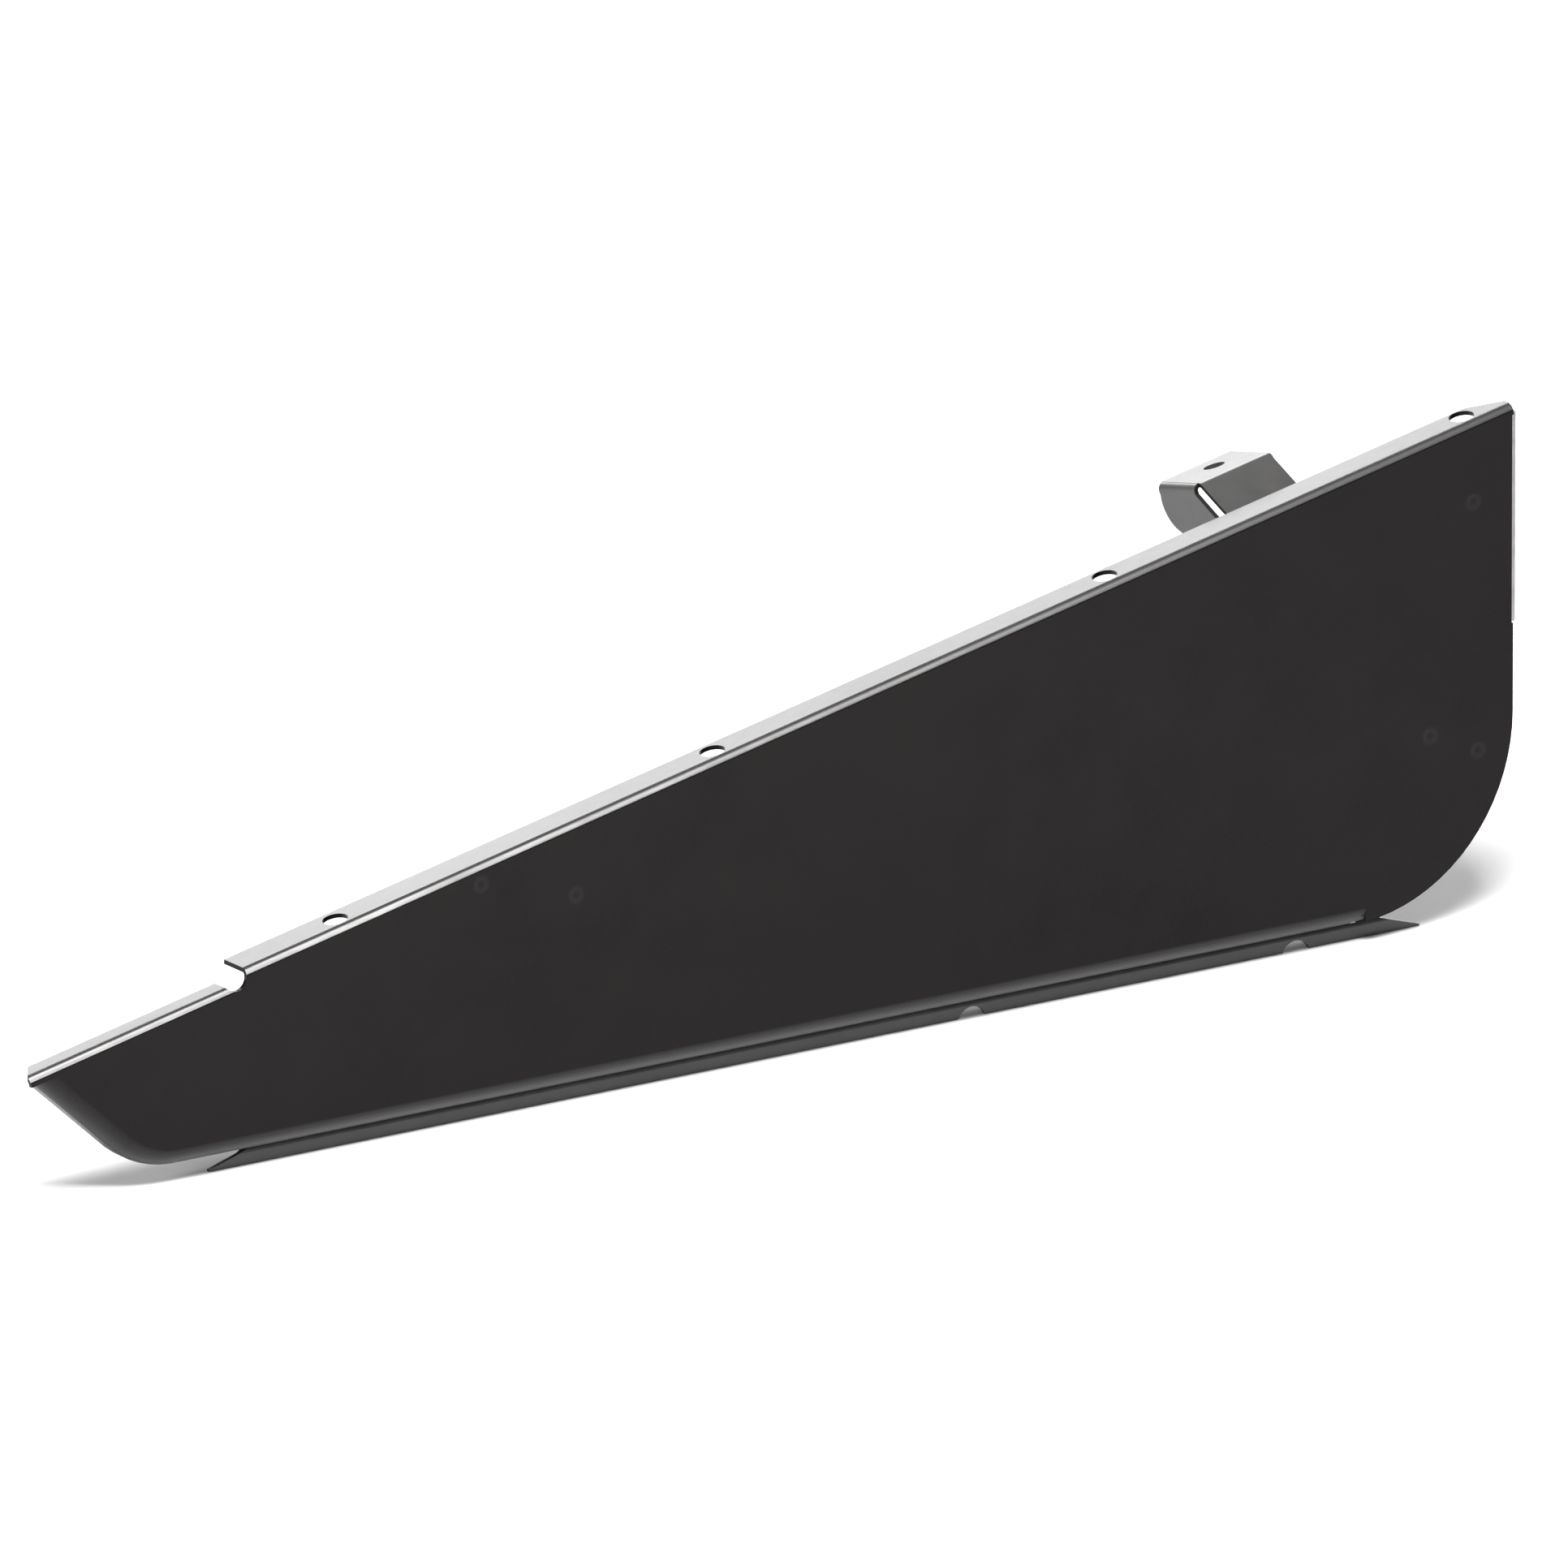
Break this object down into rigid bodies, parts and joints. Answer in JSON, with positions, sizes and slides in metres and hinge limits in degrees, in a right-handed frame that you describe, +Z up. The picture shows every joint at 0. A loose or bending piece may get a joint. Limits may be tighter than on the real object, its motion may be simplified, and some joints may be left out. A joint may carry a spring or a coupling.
{
  "type": "kick plate",
  "caption": "Tapered black sheet-steel kick plate with a sloping drilled top flange, a raked nose, a notched lower rail and a rear bracket.",
  "frame": {"origin": "centre of the flange hole nearest the nose, at the middle of the flange's thickness", "axes": "+X along the panel from the nose to the tail, +Y from the face towards the back, +Z up"},
  "size_m": [0.5829, 0.051, 0.1739],
  "materials": {
    "panel_paint": "gloss black powder coat",
    "rail_paint": "gloss black powder coat",
    "bracket_paint": "satin black paint over bare pressed steel",
    "painted_weld": "uneven weld metal under gloss black paint"
  },
  "bodies": {
    "root": {"face_plate": "panel_paint", "lower_rail": "rail_paint", "mounting_bracket": "bracket_paint", "tail_stiffener": "bracket_paint", "nose_tab": "bracket_paint", "plug_welds": "painted_weld", "bracket_weld_beads": "painted_weld"}
  },
  "joints": []
}
